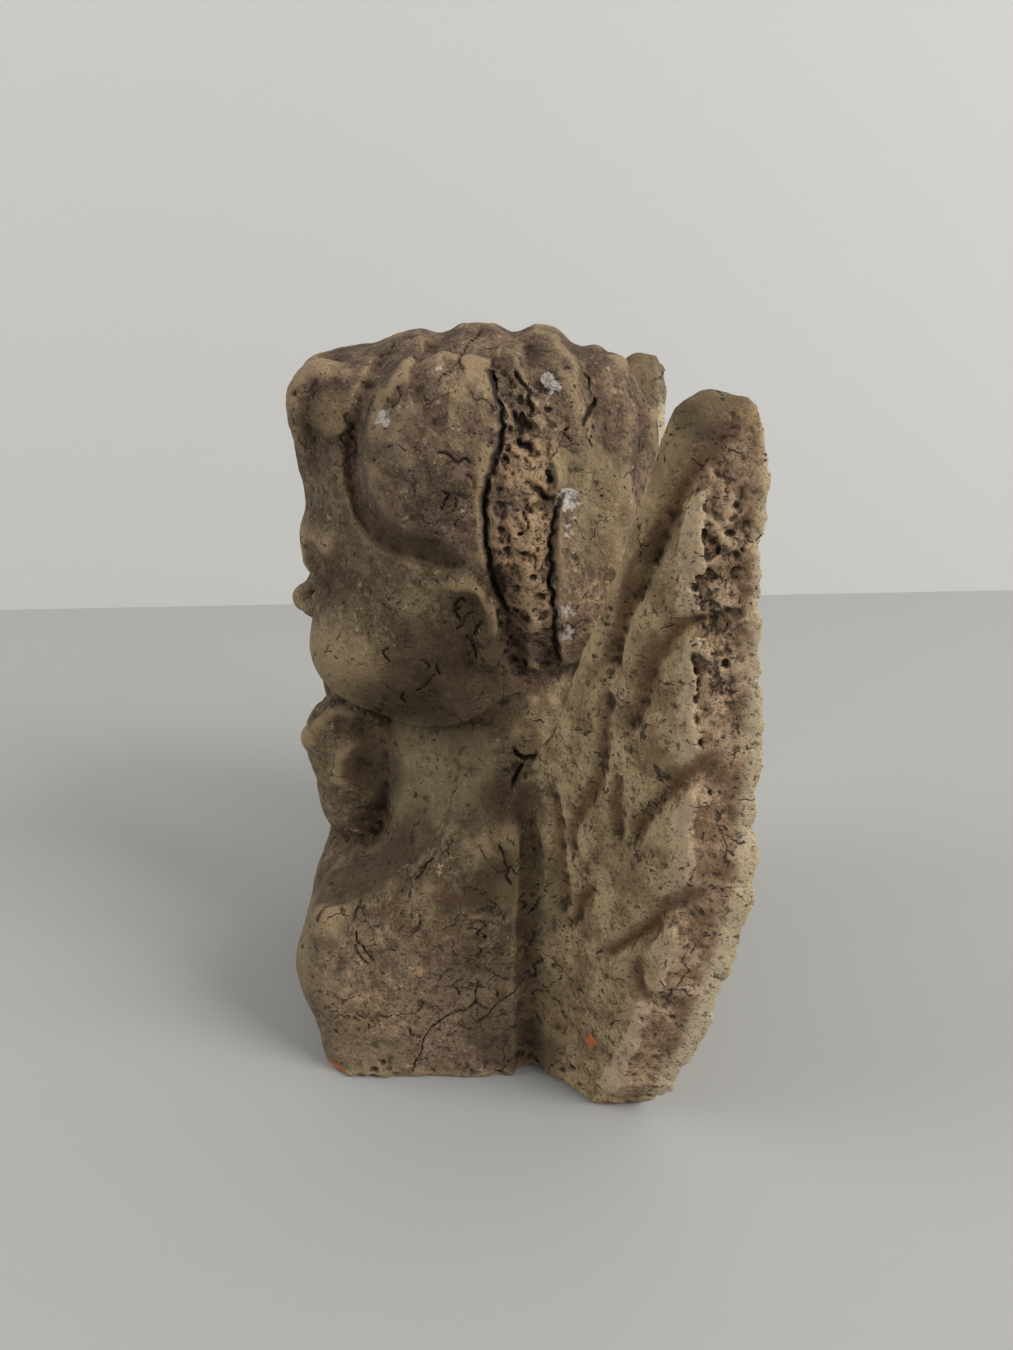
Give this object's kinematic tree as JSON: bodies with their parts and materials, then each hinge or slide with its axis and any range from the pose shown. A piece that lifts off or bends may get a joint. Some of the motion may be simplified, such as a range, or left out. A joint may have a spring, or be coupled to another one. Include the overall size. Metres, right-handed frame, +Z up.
{
  "type": "winged angel bust",
  "caption": "Child angel's head and shoulders with arms folded, chin on fist and raised wings, cast in one piece of clay with a worn grey-beige patina",
  "frame": {"origin": "middle of the bounding box, on the ground it stands on", "axes": "+Z up, the angel looks along -Y, its left side is +X"},
  "size_m": [0.1716, 0.1206, 0.2],
  "materials": {
    "patinated_clay": "dull"
  },
  "bodies": {
    "root": {"angel_bust": "patinated_clay"}
  },
  "joints": []
}
